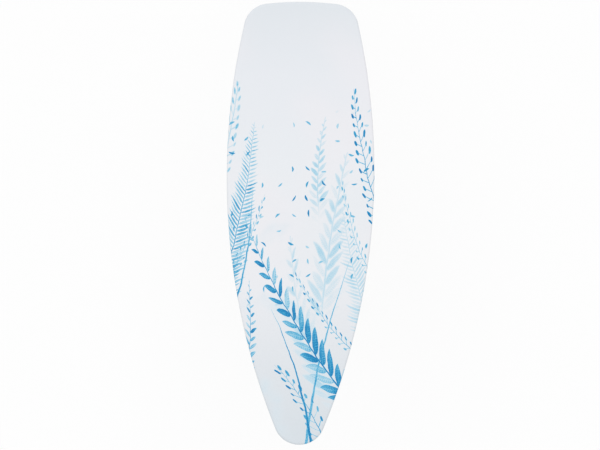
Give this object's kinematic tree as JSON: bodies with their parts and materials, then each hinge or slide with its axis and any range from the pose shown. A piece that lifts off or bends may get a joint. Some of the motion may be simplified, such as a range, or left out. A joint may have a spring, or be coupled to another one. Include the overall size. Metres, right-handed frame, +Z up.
{
  "type": "ironing board",
  "caption": "Free-standing folding ironing board with a padded, printed cotton cover on a vented steel top, crossed tube legs, sliding height guide, sprung clamp and release lever.",
  "frame": {"origin": "on the floor, below the middle of the board's length and width", "axes": "+X along the board from the square tail to the round nose, +Y across it, +Z up"},
  "size_m": [1.35, 0.45, 0.92],
  "materials": {
    "cover_cotton": "pale cotton with a blue leaf print",
    "elastic": "covered elastic",
    "foam": "open-cell foam",
    "felt": "needled felt",
    "frame_paint": "silver-grey satin powder coat",
    "zinc_steel": "bright zinc plate",
    "spring_steel": "oiled spring steel",
    "nylon": "natural nylon",
    "foot_rubber": "matt rubber",
    "grip_plastic": "fine-grained moulding"
  },
  "bodies": {
    "top": {"cover_cloth": "cover_cotton", "hem_elastic": "elastic", "foam_pad": "foam", "felt_pad": "felt", "sheet_top": "frame_paint", "rim_tail": "frame_paint", "rim_left": "frame_paint", "rim_right": "frame_paint", "rim_nose": "frame_paint", "cross_stiffeners": "frame_paint", "guide_channel": "zinc_steel", "guide_end_plates": "zinc_steel", "guide_rivets": "zinc_steel", "pivot_bracket_left": "frame_paint", "pivot_bracket_right": "frame_paint", "bracket_rivets": "zinc_steel", "pivot_bolts": "zinc_steel", "pivot_nuts": "zinc_steel", "clamp_springs": "spring_steel"},
    "outer_leg": {"outer_leg_tube_left": "frame_paint", "outer_leg_tube_right": "frame_paint", "outer_pivot_bushes": "nylon", "crossing_rivets": "zinc_steel", "outer_foot_bar": "frame_paint", "outer_foot_cap_left": "foot_rubber", "outer_foot_cap_right": "foot_rubber"},
    "inner_leg": {"inner_leg_tube_left": "frame_paint", "inner_leg_tube_right": "frame_paint", "crossing_bushes": "nylon", "inner_brace": "frame_paint", "inner_foot_bar": "frame_paint", "inner_foot_cap_left": "foot_rubber", "inner_foot_cap_right": "foot_rubber", "slide_rod": "zinc_steel", "slide_bushes": "nylon"},
    "release_lever": {"lever_shaft": "zinc_steel", "shaft_clip": "spring_steel", "clamp_bar": "zinc_steel", "lever_arm": "frame_paint", "lever_grip": "grip_plastic"}
  },
  "joints": [
    {"name": "outer_leg_fold", "type": "hinge", "parent": "top", "child": "outer_leg", "pos_m": [-0.43, 0, 0.87742], "axis": [0, -1, 0], "range_deg": [-4.2, 52.13]},
    {"name": "inner_leg_scissor", "type": "hinge", "parent": "outer_leg", "child": "inner_leg", "pos_m": [-0.12997, 0, 0.47735], "axis": [0, 1, 0], "range_deg": [-8.44, 104.31]},
    {"name": "release_lever_squeeze", "type": "hinge", "parent": "top", "child": "release_lever", "pos_m": [0.06692, -0.011, 0.89012], "axis": [1, 0, 0], "range_deg": [0, 4], "stiffness_Nm_per_rad": 8, "springref_deg": -17.19, "deforming": ["clamp_springs"]}
  ],
  "couplings": [
    {"joint": "inner_leg_scissor", "follows": "outer_leg_fold", "ratio": 2}
  ]
}
